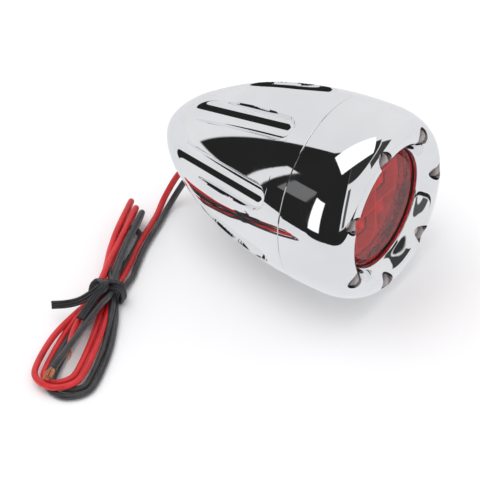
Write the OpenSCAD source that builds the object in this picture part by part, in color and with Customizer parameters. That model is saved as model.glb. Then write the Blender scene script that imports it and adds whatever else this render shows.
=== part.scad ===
// LED tail light: a fluted bullet-shaped shell, a screw-on front ring with a red lens and
// seven small marker LEDs, the circuit inside, and two leads folded into a tied hank.
//
// Frame: origin at the mouth of the mounting hole in the pad under the shell, +Z up,
// the lens looks along -Y, and the shell's tip points along +Y. Lengths in millimetres.
// Places along the light's axis are given as s, the distance from the tip of the tail.

/* [Body] */
// Largest diameter of the shell and the ring
body_d = 54; // [53:0.5:56]
// Length from the tip of the tail to the front of the ring
body_length = 75; // [74.5:0.5:76]
// Distance from the tip to the seam between the shell and the ring
seam_s = 55; // [54.8:0.1:55.2]
// Distance from the tip to the widest place
widest_s = 64; // [63.5:0.5:64.5]
// Radius of the ridge at the front of the ring
ridge_r = 21; // [20.5:0.5:21]
// Height of the light's axis above the mounting face
axis_h = 19; // [18.5:0.25:19.5]
// Distance from the tip to the centre of the mounting hole
mount_s = 17.5; // [17:0.25:18]

/* [Flutes] */
// Number of flutes round the shell
flutes = 8; // [6:1:9]
// Radius of a flute's round bottom
flute_r = 4.2; // [3.6:0.1:4.5]
// Where a flute ends, measured from the tip
flute_end_s = 45; // [42:0.5:46]
// Depth of a flute's bottom below the skin at its front end
flute_depth = 3.2; // [2.4:0.1:3.6]

/* [Mount] */
// Radius of the mounting hole, the tapping size of an M8 thread
mount_r = 3.4; // [3:0.1:3.5]
// Depth of the mounting hole
mount_depth = 8; // [7:0.25:8.25]

/* [Lens and lights] */
// Radius of the opening in the ring
opening_r = 17; // [16.5:0.1:17.2]
// Number of marker LEDs round the lens
markers = 7; // [6:1:8]
// Radius of the circle through the marker LEDs
marker_circle_r = 21.4; // [21.3:0.1:21.6]
// Radius of the holes for the marker LEDs
marker_hole_r = 2.6; // [2.4:0.1:2.6]
// Distance between neighbouring LEDs of the lamp, which form a square grid
led_pitch = 9.5; // [9:0.1:9.5]

/* [Wires] */
// Diameter over a wire's insulation
wire_d = 1.8; // [1.6:0.1:1.8]
// Length of stripped copper at a wire's end
copper_length = 5; // [3:0.5:6]

/* [Hidden] */

body_r = body_d / 2;
floor_z = axis_h - body_r;
gap = 0.3;
chrome = "silver";

// Shell: wall, cavities and spigot
cavity_steps = [[12, 24], [17.3, 36], [21, 47]];
spigot_r = 24;
spigot_bore_r = 21;
spigot_end_s = 60.3;
flute_start_s = 6;
flute_start_r = 12.1;
flute_phase = 22.5;
pad_rear_s = 12;
pad_front_s = 24;
pad_rear_half = 5.5;
pad_front_half = 9;
pad_corner_r = 0.8;
pad_top = 6.8;

// Wire exit: a bore that leaves the cavity slanting down and back
exit_tilt = 45;
exit_root_s = 19.6;
exit_r = 2.6;
exit_far = 17;
exit_near = -9;
grommet_long = 5;
wire_offset = 1.15;
lead_r = 0.8;
grommet_hole_r = 0.95;

// Ring: cavity, lens pocket and face
ring_cavity_r = 24.3;
ring_floor_s = 64.5;
pocket_r = 18.3;
lip_back_s = 69.8;
lip_front_s = 70.6;
gasket_rebate_r = 26;
gasket_rebate = 0.8;

// Lens stack
lens_r = 18;
lens_back_s = 66.6;
lens_flange_s = 69;
lens_step_r = 16.7;
lens_front_s = 70;
retainer_bore_r = 16.4;

// Circuit
board_back_s = 61;
board_front_s = 62.6;
board_r = 23.8;
screw_circle_r = 20.4;
screw_places = [0.5, 2.5, 5.5];
marker_pin_gap = 0.8;
marker_pin_r = 0.3;
contact_radii = [6, 11];
contact_thick = 0.35;
led_size = 3;
led_dome_r = 1.2;
tray_r = 16.2;
tray_wall = 0.6;
tray_deep = 2.6;
cup_size = led_pitch - 1.2;
marker_top_s = 72.6;
marker_base_s = 66;
marker_led_r = 2.05;
block_back_s = 47;
block_front_s = 50;
block_r = 20.7;
block_screw_r = 19.15;
pin_back_s = 45;

// Hank of folded wire: a narrow waist where the tie sits, and a lobe on each side of it
hank_top = [-18.5, 19];
hank_top_r = 6.5;
hank_waist = [-47, 6.5];
hank_waist_r = 3.4;
hank_low = [-75.5, -1];
hank_low_r = 9.3;
hank_h = 6.3;
waist_long = 3.6;
waist_w = 7.4;
waist_lift = 0.9;
tie_thick = 0.9;
tie_tail_long = 13;
tie_tail_w = 1.6;

// Routes, as points that the middle of each wire passes through
wire_r = wire_d / 2;
wire_z = floor_z + wire_r;
red_route = [
  [0, 10.7, 7.8], [0, 12.8, 5.7], [-0.2, 15, 3.3], [-1.2, 16.8, 0.4], [-3.2, 18, -2.8],
  [-6.2, 18.3, -5.4], [-10, 17.5, wire_z], [-14.4, 16.2, wire_z], [-19.9, 14.8, wire_z],
  [-25.9, 13, wire_z], [-32.4, 10.4, wire_z]
];
black_route = [
  [0, 9.1, 6.2], [0, 11.2, 4.1], [-0.2, 13.1, 1.6], [-1, 14.7, -1.2], [-2.8, 15.9, -4.1],
  [-5.6, 16.3, -6.3], [-9.6, 15.5, wire_z], [-13.8, 14.2, wire_z], [-19.2, 12.8, wire_z],
  [-25.1, 11, wire_z], [-32.6, 8, wire_z], [-36, 6.6, wire_z]
];
red_end = [[-72.5, -0.5], [-77, -2.2]];
black_end = [[-78.8, -2.6], [-82.6, -5.4]];

// The light's own coordinates: x to the right, y up, z = s towards the lens
module on_axis() translate([0, mount_s, axis_h]) rotate([90, 0, 0]) children();

// Radius of the outer skin at a distance s from the tip
ogive_power = 0.6;
nose_r = body_r - ridge_r;
function tail_radius(s) = body_r * pow(1 - pow((widest_s - s) / widest_s, 2), ogive_power);
function nose_radius(s) =
  ridge_r + nose_r * sqrt(max(0, 1 - pow((s - widest_s) / (body_length - widest_s), 2)));

// Smooth route through chosen points, and a tube of flat-sided rings swept along it
function pick(p, i) = p[min(max(i, 0), len(p) - 1)];
function curve_at(a, b, c, d, t) =
  0.5 * (2 * b + (c - a) * t + (2 * a - 5 * b + 4 * c - d) * t * t
  + (3 * b - a - 3 * c + d) * t * t * t);
function smooth(p, n) = [
  for (i = [0:len(p) - 2]) for (k = [0:n - 1])
    curve_at(pick(p, i - 1), p[i], p[i + 1], pick(p, i + 2), k / n),
  p[len(p) - 1]
];
function unit(v) = v / norm(v);
function heading(q, i) = unit(pick(q, i + 1) - pick(q, i - 1));
function across(t) = unit(cross(t, abs(t.z) < 0.98 ? [0, 0, 1] : [1, 0, 0]));
tube_sides = 8;
module tube(route, r, n) {
  q = smooth(route, n);
  last = len(q) - 1;
  rings = [
    for (i = [0:last]) let (t = heading(q, i), a = across(t), b = cross(t, a))
      for (k = [0:tube_sides - 1])
        q[i] + r * (cos(360 * k / tube_sides) * a + sin(360 * k / tube_sides) * b)
  ];
  walls = [
    for (i = [0:last - 1]) for (k = [0:tube_sides - 1])
      let (m = (k + 1) % tube_sides, a = i * tube_sides, b = a + tube_sides)
        each [[a + k, b + k, b + m], [a + k, b + m, a + m]]
  ];
  start = [for (k = [0:tube_sides - 1]) k];
  end = [for (k = [tube_sides - 1:-1:0]) last * tube_sides + k];
  polyhedron(rings, concat([start], walls, [end]));
}

// A ring of copies round the light's axis
module round_axis(n, r) for (k = [0:n - 1]) rotate([0, 0, 360 * k / n]) translate([r, 0, 0]) children();

// Copies at the board's screws, which sit half-way between markers
module at_board_screws() for (k = screw_places)
  rotate([0, 0, 360 * k / markers]) translate([screw_circle_r, 0, 0]) children();

module ring_solid(outer, inner, from_s, to_s) translate([0, 0, from_s])
  difference() {
    cylinder(r = outer, h = to_s - from_s, $fn = 96);
    translate([0, 0, -1]) cylinder(r = inner, h = to_s - from_s + 2, $fn = 96);
  }

module bar(r, from_s, to_s) translate([0, 0, from_s]) cylinder(r = r, h = to_s - from_s, $fn = 48);

// Shell
tail_steps = 26;
module tail_body() {
  skin = [for (i = [0:tail_steps]) let (s = seam_s * pow(i / tail_steps, 1.6)) [tail_radius(s), s]];
  rotate_extrude($fn = 128) polygon(concat(skin, [[0, seam_s]]));
}

// A ball-nosed cutter laid along the bottom of one flute
module flute_cutter() {
  rise = tail_radius(flute_end_s) - flute_depth - flute_start_r;
  run = flute_end_s - flute_start_s;
  nose = [for (a = [0:15:90]) [flute_r * cos(a), flute_r * sin(a)]];
  translate([flute_start_r + flute_r, 0, flute_start_s]) rotate([0, atan2(rise, run), 0])
    rotate_extrude($fn = 48)
      polygon(concat([[0, -flute_end_s]], [[flute_r, -flute_end_s]],
        [for (p = nose) [p.x, p.y + norm([rise, run])]]));
}

module mounting_pad() {
  corners = [
    [pad_rear_half, mount_s - pad_rear_s], [pad_front_half, mount_s - pad_front_s]
  ];
  linear_extrude(pad_top) hull() for (c = corners) for (side = [-1, 1])
    translate([side * (c.x - pad_corner_r), c.y - pad_corner_r]) circle(r = pad_corner_r, $fn = 24);
}

// The slanting line on which the leads leave, as a direction for its own +z
module on_exit() translate([0, 0, exit_root_s]) rotate([90 + exit_tilt, 0, 0]) children();

module tail_shell() color(chrome) difference() {
  union() {
    difference() {
      on_axis() tail_body();
      on_axis() for (k = [0:flutes - 1]) rotate([0, 0, flute_phase + 360 * k / flutes]) flute_cutter();
    }
    on_axis() bar(spigot_r, seam_s - 2, spigot_end_s);
    mounting_pad();
  }
  on_axis() {
    for (c = cavity_steps) bar(c[0], c[1], spigot_end_s + 1);
    on_exit() translate([0, 0, exit_near]) cylinder(r = exit_r, h = exit_far + 8 - exit_near, $fn = 48);
    for (side = [-1, 1]) translate([side * block_screw_r, 0, 0]) bar(1.25, block_back_s - 5, block_back_s + 1);
  }
  translate([0, 0, -1]) cylinder(r = mount_r, h = mount_depth + 1, $fn = 64);
}

// Rubber grommet that fills the outer end of the slanting bore
module wire_grommet() color("black") on_axis() on_exit() difference() {
  translate([0, 0, exit_far - grommet_long]) cylinder(r = exit_r, h = grommet_long, $fn = 48);
  for (side = [-1, 1]) translate([0, side * wire_offset, 0])
    cylinder(r = grommet_hole_r, h = exit_far + 1, $fn = 32);
}

// Leads between the grommet and the contact block, inside the shell
lead_start = pin_back_s - 0.1;
lead_exit = exit_far - 0.1;
function on_exit_line(k, side) = [
  0, -(k + side * wire_offset) * sin(exit_tilt), exit_root_s - (k - side * wire_offset) * cos(exit_tilt)
];
module lead(side, height, middle) on_axis() tube(concat(
  [[0, height, lead_start], [0, height, lead_start - 4.4]], middle,
  [for (k = [-6, 0, 6, lead_exit]) on_exit_line(k, -side)]), lead_r, 3);
module inner_red_lead() color("red") lead(1, contact_radii[0], [[0, 6.4, 33]]);
module inner_black_lead() color("dimgray")
  lead(-1, -contact_radii[1], [[0, -7.6, 34], [0, -0.6, 29.4]]);

// Free wires, their hank and the tie round its waist
module red_wire() color("red") tube(red_route, wire_r, 3);
module black_wire() color("dimgray") tube(black_route, wire_r, 3);

hank_turn = atan2(hank_low.y - hank_top.y, hank_low.x - hank_top.x);
module at_waist() translate([hank_waist.x, hank_waist.y, floor_z]) rotate([0, 0, hank_turn]) children();
module lobe(far, far_r, side) hull() {
  translate(far) circle(r = far_r, $fn = 48);
  translate(hank_waist) rotate(hank_turn) translate([side * (waist_long / 2 + hank_waist_r), 0])
    circle(r = hank_waist_r, $fn = 48);
}
module wire_hank() color("firebrick") union() {
  translate([0, 0, floor_z]) linear_extrude(hank_h) lobe(hank_top, hank_top_r, -1);
  translate([0, 0, floor_z]) linear_extrude(hank_h) lobe(hank_low, hank_low_r, 1);
  at_waist() translate([-waist_long, -waist_w / 2, waist_lift])
    cube([2 * waist_long, waist_w, hank_h - 2 * waist_lift]);
}
module hank_tie() color("black") at_waist() {
  outer_w = waist_w + 2 * tie_thick;
  inner_h = hank_h - 2 * waist_lift;
  difference() {
    translate([-waist_long / 2, -outer_w / 2, 0]) cube([waist_long, outer_w, inner_h + 2 * tie_thick]);
    translate([-waist_long, -waist_w / 2, waist_lift]) cube([2 * waist_long, waist_w, inner_h]);
  }
  translate([0, -tie_tail_w / 2, hank_h]) cube([tie_tail_long, tie_tail_w, tie_thick]);
}

// Stripped copper ends, lying on the hank
module copper_end(ends) color("peru") {
  reach = ends[1] - ends[0];
  translate([ends[0].x, ends[0].y, floor_z + hank_h + wire_r / 2]) rotate([0, 90, atan2(reach.y, reach.x)])
    cylinder(r = wire_r / 2, h = copper_length, $fn = 24);
}
module red_wire_end() copper_end(red_end);
module black_wire_end() copper_end(black_end);

// Contact block with two sprung pins that press on rings behind the board
module contact_block() color("ivory") on_axis() difference() {
  bar(block_r, block_back_s, block_front_s);
  for (side = [0, 1]) translate([0, (1 - 2 * side) * contact_radii[side], 0])
    bar(1.5, block_back_s - 1, block_front_s + 1);
  for (side = [-1, 1]) translate([side * block_screw_r, 0, 0])
    bar(1.35, block_back_s - 1, block_front_s + 1);
}
module contact_pins() color("gold") on_axis() for (side = [0, 1])
  translate([0, (1 - 2 * side) * contact_radii[side], 0]) {
    bar(1.5, pin_back_s, block_front_s + 2);
    bar(0.7, block_front_s + 1, board_back_s - contact_thick);
  }
module block_screws() color("gray") on_axis() for (side = [-1, 1])
  translate([side * block_screw_r, 0, 0]) {
    bar(1.25, block_back_s - 4.5, block_front_s);
    difference() {
      bar(1.75, block_front_s, block_front_s + 1.5);
      translate([-0.3, -1.4, block_front_s + 0.9]) cube([0.6, 2.8, 1]);
    }
  }

// Rubber washer in the seam
module seam_gasket() color("black") on_axis()
  ring_solid(gasket_rebate_r - gap, ring_cavity_r + gap, seam_s, seam_s + gasket_rebate - 0.1);

// Front ring: a skin with a rounded nose and a dished face, bored out from behind
ring_steps = 12;
module ring_body() {
  outer = [
    for (i = [0:3]) let (s = seam_s + (widest_s - seam_s) * i / 4) [tail_radius(s), s],
    for (i = [0:ring_steps]) let (a = 90 * i / ring_steps)
      [ridge_r + nose_r * cos(a), widest_s + (body_length - widest_s) * sin(a)]
  ];
  face = [[19.4, 74.1], [18.1, 72.4], [opening_r, lip_front_s]];
  rotate_extrude($fn = 128)
    polygon(concat([[0, seam_s]], outer, face, [[0, lip_front_s]]));
}
module front_ring() color(chrome) on_axis() difference() {
  ring_body();
  bar(gasket_rebate_r, seam_s - 1, seam_s + gasket_rebate);
  bar(ring_cavity_r, seam_s - 1, ring_floor_s);
  bar(pocket_r, seam_s, lip_back_s);
  bar(opening_r, seam_s, body_length);
  round_axis(markers, marker_circle_r) bar(marker_hole_r, seam_s, body_length + 1);
  at_board_screws() bar(0.8, seam_s, ring_floor_s + 3);
}

// Lens with a stepped rim, its seal in front and the ring that holds it
module lens() color("red", 0.7) on_axis() rotate_extrude($fn = 128) polygon([
  [0, lens_back_s], [lens_r, lens_back_s], [lens_r, lens_flange_s],
  [lens_step_r, lens_flange_s], [lens_step_r, lens_front_s - 0.6],
  [lens_step_r - 0.6, lens_front_s - 0.1], [0, lens_front_s]
]);
module lens_seal() color("black") on_axis()
  ring_solid(lens_r, opening_r + 0.1, lens_flange_s, lip_back_s);
module retaining_ring() color("gray") on_axis()
  ring_solid(lens_r, retainer_bore_r, ring_floor_s - 0.6, lens_back_s);

// Board behind the lens, with the contact rings on its back
module led_board() color("darkgreen") on_axis() difference() {
  bar(board_r, board_back_s, board_front_s);
  at_board_screws() bar(1.05, board_back_s - 1, board_front_s + 1);
  round_axis(markers, marker_circle_r) for (side = [-1, 1]) translate([0, side * marker_pin_gap, 0])
    bar(marker_pin_r, board_back_s - 1, board_front_s + 1);
}
module contact_rings() color("gold") on_axis() for (r = contact_radii)
  ring_solid(r + 1.4, r - 1.4, board_back_s - contact_thick + 0.05, board_back_s);

// Square grid of LEDs and the tray of cups that they shine through
module over_grid() for (i = [-1:1]) for (j = [-1:1]) translate([i * led_pitch, j * led_pitch, 0]) children();
module cluster_leds() color("red") on_axis() over_grid() {
  translate([-led_size / 2, -led_size / 2, board_front_s]) cube([led_size, led_size, 0.9]);
  bar(led_dome_r, board_front_s + 0.9, board_front_s + 1.5);
}
module cluster_reflector() color("white") on_axis() difference() {
  bar(tray_r, board_front_s, board_front_s + tray_deep);
  intersection() {
    over_grid() translate([-cup_size / 2, -cup_size / 2, board_front_s - 1])
      cube([cup_size, cup_size, tray_deep + 2]);
    bar(tray_r - tray_wall, board_front_s - 1, board_front_s + tray_deep + 1);
  }
}

// Marker LEDs in their bushes, on long pins from the board
module marker_leds() color("mistyrose") on_axis() round_axis(markers, marker_circle_r)
  bar(marker_led_r, marker_base_s, marker_top_s);
module marker_pins() color("silver") on_axis() round_axis(markers, marker_circle_r)
  for (side = [-1, 1]) translate([0, side * marker_pin_gap, 0]) bar(marker_pin_r, board_back_s - 0.5, marker_base_s);
module marker_bushes() color("black") on_axis() round_axis(markers, marker_circle_r)
  ring_solid(marker_hole_r, marker_led_r, marker_base_s - 0.5, marker_top_s - 1);

// Spacers and screws that hold the board to the ring
module board_spacers() color("gold") on_axis() at_board_screws()
  ring_solid(1.9, 1.05, board_front_s, ring_floor_s);
module board_screws() color("gray") on_axis() at_board_screws() {
  bar(0.8, board_back_s, ring_floor_s + 2.5);
  bar(1.6, board_back_s - 0.6, board_back_s);
}

// Two dropping resistors on the back of the board
module resistors() color("black") on_axis() for (side = [-1, 1])
  translate([side * 16.5 - 1, -1.6, board_back_s - 0.6]) cube([2, 3.2, 0.6]);

tail_shell();
wire_grommet();
red_wire();
black_wire();
wire_hank();
hank_tie();
red_wire_end();
black_wire_end();
inner_red_lead();
inner_black_lead();
contact_block();
contact_pins();
block_screws();
seam_gasket();
front_ring();
lens();
lens_seal();
retaining_ring();
led_board();
contact_rings();
cluster_leds();
cluster_reflector();
marker_leds();
marker_pins();
marker_bushes();
board_spacers();
board_screws();
resistors();
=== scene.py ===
"""Looks of the LED tail light: chromed shell and ring, lens, lamps, free wires and their tied hank."""

import math

import bmesh
import bpy
import numpy as np
from mathutils import Matrix, Vector


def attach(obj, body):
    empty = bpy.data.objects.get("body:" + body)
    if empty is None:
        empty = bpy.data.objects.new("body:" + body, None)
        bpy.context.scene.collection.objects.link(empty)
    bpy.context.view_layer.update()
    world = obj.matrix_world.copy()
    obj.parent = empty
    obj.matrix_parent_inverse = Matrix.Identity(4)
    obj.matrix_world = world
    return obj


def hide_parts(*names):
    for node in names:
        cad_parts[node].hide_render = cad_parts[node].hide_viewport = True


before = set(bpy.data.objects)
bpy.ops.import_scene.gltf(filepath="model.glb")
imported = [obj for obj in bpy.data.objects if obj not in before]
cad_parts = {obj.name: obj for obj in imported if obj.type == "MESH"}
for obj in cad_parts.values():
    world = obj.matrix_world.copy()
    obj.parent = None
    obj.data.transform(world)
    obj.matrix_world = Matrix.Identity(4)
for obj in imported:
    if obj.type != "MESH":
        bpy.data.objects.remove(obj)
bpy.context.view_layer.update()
MM = 0.001

# Dimensions that part.scad also states, in millimetres
BODY_R = 27.0
BODY_LONG = 75.0
SEAM_S = 55.0
WIDEST_S = 64.0
RIDGE_R = 21.0
AXIS_H = 19.0
MOUNT_S = 17.5
FLOOR_Z = AXIS_H - BODY_R
FLUTES = 8
FLUTE_R = 4.2
FLUTE_START = (6.0, 12.1)
FLUTE_END_S = 45.0
FLUTE_DEPTH = 3.2
MOUNT_R = 3.4
MOUNT_DEPTH = 8.0
PAD_REAR = (12.0, 5.5)
PAD_FRONT = (24.0, 9.0)
PAD_TOP = 6.8
EXIT_TILT = 45
EXIT_ROOT_S = 19.6
EXIT_FAR = 17.0
EXIT_R = 2.6
GROMMET_LONG = 5.0
CAVITY_STEPS = ((12, 24), (17.3, 36), (21, 47))
SPIGOT_R = 24.0
SPIGOT_END_S = 60.3
RING_CAVITY_R = 24.3
RING_FLOOR_S = 64.5
POCKET_R = 18.3
LIP_BACK_S = 69.8
GASKET_REBATE_R = 26.0
GASKET_REBATE = 0.8
OPENING_R = 17.0
LENS_R = 18.0
LENS_BACK_S = 66.6
LENS_FLANGE_S = 69.0
LENS_FRONT_S = 70.0
BOARD_FRONT_S = 62.6
TRAY_R = 16.2
LED_PITCH = 9.5
MARKERS = 7
MARKER_CIRCLE_R = 21.4
MARKER_HOLE_R = 2.6
MARKER_TOP_S = 72.6
WIRE_D = 1.8
WIRE_R = WIRE_D / 2


# ---------------------------------------------------------------- helpers
def at(x, s, up):
    """A point given by x, the distance s from the tip and the height above the axis, in metres."""
    return Vector((x * MM, (MOUNT_S - s) * MM, (AXIS_H + up) * MM))


def tail_radius(s):
    """The plain skin's radius from the tip to the widest place."""
    return BODY_R * np.power(np.clip(1 - ((WIDEST_S - s) / WIDEST_S) ** 2, 0, 1), 0.6)


def smooth_min(a, b, k):
    """The smaller of a and b, rounded over where they are within k of each other."""
    h = np.clip(0.5 + 0.5 * (b - a) / k, 0, 1)
    return b * (1 - h) + a * h - k * h * (1 - h)


def through(points, n):
    """A smooth line through the points, with n steps between neighbours."""
    p = np.array(points, float)
    p = np.vstack([2 * p[0] - p[1], p, 2 * p[-1] - p[-2]])
    out = []
    for a, b, c, d in zip(p[:-3], p[1:-2], p[2:-1], p[3:]):
        for t in np.linspace(0, 1, n, endpoint=False):
            out.append(
                0.5 * (2 * b + (c - a) * t + (2 * a - 5 * b + 4 * c - d) * t**2
                       + (3 * b - a - 3 * c + d) * t**3)
            )
    return np.array(out + [p[-2]])


def new_mesh(name, verts, faces, smooth_angle=35):
    """An object from vertices and faces, in the scene."""
    mesh = bpy.data.meshes.new(name)
    mesh.from_pydata([tuple(v) for v in verts], [], faces)
    mesh.validate()
    obj = bpy.data.objects.new(name, mesh)
    bpy.context.scene.collection.objects.link(obj)
    shade(obj, smooth_angle)
    return obj


def shade(obj, angle=35):
    """Smooth shading, with sharp edges above the angle."""
    mesh = obj.data
    mesh.polygons.foreach_set("use_smooth", [True] * len(mesh.polygons))
    mesh.set_sharp_from_angle(angle=math.radians(angle))


def lathe(name, profile, around=192, angle=35, radius_at=None):
    """A closed body of revolution about the light's axis. profile is a list of (r, s); r = 0 closes an end.
    radius_at may give a row its own angles and radii."""
    phi = np.linspace(0, 2 * np.pi, around, endpoint=False)
    verts, rows, faces = [], [], []
    for i, (r, s) in enumerate(profile):
        if r <= 1e-6:
            rows.append([len(verts)] * around)
            verts.append(at(0, s, 0))
            continue
        turns, rr = (phi, np.full(around, r)) if radius_at is None else radius_at(i, r, s, phi)
        rows.append(list(range(len(verts), len(verts) + around)))
        verts += [at(a * math.cos(t), s, a * math.sin(t)) for a, t in zip(rr, turns)]
    pairs = list(zip(rows[:-1], rows[1:]))
    if profile[0][0] > 1e-6:
        pairs.append((rows[-1], rows[0]))
    for a, b in pairs:
        for j in range(around):
            k = (j + 1) % around
            quad = [a[j], a[k], b[k], b[j]]
            face = [v for n, v in enumerate(quad) if v not in quad[:n]]
            if len(face) > 2:
                faces.append(face)
    obj = new_mesh(name, verts, faces, angle)
    bm = bmesh.new()
    bm.from_mesh(obj.data)
    bmesh.ops.recalc_face_normals(bm, faces=bm.faces)
    bm.to_mesh(obj.data)
    bm.free()
    shade(obj, angle)
    return obj


def arc(centre, radius, start, stop, steps):
    """Points (r, s) on an arc; angles in degrees, 0 outwards, 90 towards the lens."""
    return [
        (centre[0] + radius * math.cos(math.radians(a)), centre[1] + radius * math.sin(math.radians(a)))
        for a in np.linspace(start, stop, steps)
    ]


def rod(radius, start, end, sides=48):
    """A plain closed cylinder between two points, used as a cutter."""
    bm = bmesh.new()
    bmesh.ops.create_cone(bm, cap_ends=True, segments=sides, radius1=radius, radius2=radius,
                          depth=(end - start).length)
    mesh = bpy.data.meshes.new("cutter")
    bm.to_mesh(mesh)
    bm.free()
    obj = bpy.data.objects.new("cutter", mesh)
    bpy.context.scene.collection.objects.link(obj)
    turn = (end - start).to_track_quat("Z", "Y").to_matrix().to_4x4()
    obj.data.transform(Matrix.Translation((start + end) / 2) @ turn)
    return obj


def boolean(obj, other, operation="DIFFERENCE"):
    """Cuts, joins or clips obj by other, and removes other."""
    mod = obj.modifiers.new("cut", "BOOLEAN")
    mod.operation = operation
    mod.solver = "EXACT"
    mod.object = other
    bpy.context.view_layer.update()
    mesh = bpy.data.meshes.new_from_object(obj.evaluated_get(bpy.context.evaluated_depsgraph_get()))
    obj.modifiers.clear()
    obj.data = mesh
    bpy.data.objects.remove(other)
    shade(obj)


def joined(name, objects):
    """The objects' meshes as one object."""
    bm = bmesh.new()
    for o in objects:
        o.data.transform(o.matrix_world)
        bm.from_mesh(o.data)
        bpy.data.objects.remove(o)
    mesh = bpy.data.meshes.new(name)
    bm.to_mesh(mesh)
    bm.free()
    obj = bpy.data.objects.new(name, mesh)
    bpy.context.scene.collection.objects.link(obj)
    shade(obj)
    return obj


# ---------------------------------------------------------------- camera
def make_camera():
    """The photograph's own view, by a long lens from above and to the left of the light's front."""
    place = Vector((-0.37807, -0.30148, 0.39622))
    azimuth, elevation, roll = (math.radians(a) for a in (-51.8, 40.5, -3.85))
    cam = bpy.data.objects.new("camera", bpy.data.cameras.new("camera"))
    cam.data.lens = 165
    cam.data.sensor_width = 36
    cam.data.clip_start = 0.05
    cam.data.clip_end = 20
    cam.matrix_world = (
        Matrix.Translation(place) @ Matrix.Rotation(azimuth, 4, "Z")
        @ Matrix.Rotation(math.pi / 2 - elevation, 4, "X") @ Matrix.Rotation(roll, 4, "Z")
    )
    bpy.context.scene.collection.objects.link(cam)
    bpy.context.scene.camera = cam


make_camera()

# ---------------------------------------------------------------- wires
WIRE_Z = FLOOR_Z + WIRE_R
RED_ROUTE = [
    (0, 10.7, 7.8), (0, 12.8, 5.7), (-0.2, 15, 3.3), (-1.2, 16.8, 0.4), (-3.2, 18, -2.8),
    (-6.2, 18.3, -5.4), (-10, 17.5, WIRE_Z), (-14.4, 16.2, WIRE_Z), (-19.9, 14.8, WIRE_Z),
    (-25.9, 13, WIRE_Z), (-32.4, 10.4, WIRE_Z),
]
BLACK_ROUTE = [
    (0, 9.1, 6.2), (0, 11.2, 4.1), (-0.2, 13.1, 1.6), (-1, 14.7, -1.2), (-2.8, 15.9, -4.1),
    (-5.6, 16.3, -6.3), (-9.6, 15.5, WIRE_Z), (-13.8, 14.2, WIRE_Z), (-19.2, 12.8, WIRE_Z),
    (-25.1, 11, WIRE_Z), (-32.6, 8, WIRE_Z), (-36, 6.6, WIRE_Z),
]
WAIST = np.array([-47.0, 6.5])
# The hank lies along the line between these places on the floor.
HANK_HEAD = (-18.5, 19.0)
HANK_FOOT = (-75.5, -1.0)
HANK_TURN = math.atan2(HANK_FOOT[1] - HANK_HEAD[1], HANK_FOOT[0] - HANK_HEAD[0])


def hank_point(u, v, h):
    """u along the hank from its waist, v across it, h above the surface, as x, y, z."""
    c, s = math.cos(HANK_TURN), math.sin(HANK_TURN)
    return (WAIST[0] + u * c - v * s, WAIST[1] + u * s + v * c, FLOOR_Z + h)


def lobe(reach, first, last, enter, leave):
    """One loop of wire from the waist round a fold and back. first and last are the places (v, h) of its two
    straight runs, and enter and leave the (v, h) of its two slots in the waist."""
    first, last, enter, leave = (np.array(p, float) for p in (first, last, enter, leave))
    middle, half = (first + last) / 2, (first - last) / 2
    radius = np.linalg.norm(half)
    way = math.copysign(1, reach)
    straight = abs(reach) - radius
    out = [(way * straight * s, *(enter + (first - enter) * mix)) for s, mix in ((0.28, 0.5), (0.62, 0.93))]
    for a in (0, 45, 90, 135, 180):
        t = math.radians(a)
        out.append((way * (straight + radius * math.sin(t)), *(middle + half * math.cos(t))))
    out += [(way * straight * s, *(leave + (last - leave) * mix)) for s, mix in ((0.62, 0.93), (0.28, 0.5))]
    return out


def wire_line(route, slots, loops, tail):
    """The whole centreline of one wire in metres: its free route, then its passes through the waist."""
    local = [(0, *slots[0])]
    for k, (reach, first, last) in enumerate(loops):
        local += lobe(reach, first, last, slots[k], slots[k + 1])
        local.append((0, *slots[k + 1]))
    local += tail
    return through(list(route) + [hank_point(*p) for p in local], 12) * MM


# The upper folds stand on edge, leaning over a little; the lower ones lie flat.
LOW = WIRE_R
RED_LINE = wire_line(
    RED_ROUTE,
    [(0.95, 1.7), (-1.9, 3.3), (-0.95, 1.7), (-2.85, 4.9), (-0.95, 4.9)],
    [(37.5, (3.8, 2.6), (-9.4, 2.6)), (-37.5, (-5.0, 5.9), (-6.9, LOW)),
     (35, (1.9, 2.6), (-7.4, LOW)), (-35, (-2.7, 5.9), (-4.6, LOW))],
    [(9, -2.4, 5.2), (17, -3.2, 5), (23.5, -2.4, 4.6)],
)
BLACK_LINE = wire_line(
    BLACK_ROUTE,
    [(2.85, 1.7), (0.0, 3.3), (1.9, 3.3), (-2.85, 1.7), (1.6, 4.9)],
    [(38.5, (7.4, LOW), (-6, LOW)), (-33.5, (-0.4, 5.9), (-2.3, LOW)),
     (36, (5.5, LOW), (-4.1, LOW)), (-29.5, (0.4, LOW), (-5.4, 2.8))],
    [(9, 0.6, 6), (20, -1, 6.2), (29, -2.8, 5.6), (33, -3.6, 5)],
)


def tube(name, line, radius, sides=16):
    """A closed round tube along a line of points in metres, without twist and with rounded ends."""
    line = np.asarray(line, float)
    ahead = np.gradient(line, axis=0)
    ahead /= np.linalg.norm(ahead, axis=1)[:, None]
    side = np.cross(ahead[0], (0.3, 0.2, 1.0))
    turn = np.linspace(0, 2 * math.pi, sides, endpoint=False)
    verts, faces = [], []
    radii = np.full(len(line), radius)
    radii[0] = radii[-1] = radius * 0.86
    for point, way, r in zip(line, ahead, radii):
        side = side - way * (side @ way)
        side /= np.linalg.norm(side)
        up = np.cross(way, side)
        verts += [point + r * (side * math.cos(t) + up * math.sin(t)) for t in turn]
    for i in range(len(line) - 1):
        for k in range(sides):
            m = (k + 1) % sides
            faces.append([i * sides + k, i * sides + m, (i + 1) * sides + m, (i + 1) * sides + k])
    faces += [list(range(sides))[::-1], list(range(len(verts) - sides, len(verts)))]
    return new_mesh(name, verts, faces, 60)


def wire(name, line, replaced):
    """A free wire: a tube along its own line."""
    obj = tube(name, line, WIRE_R * MM)
    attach(obj, "shell")
    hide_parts(*replaced)
    return obj


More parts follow.
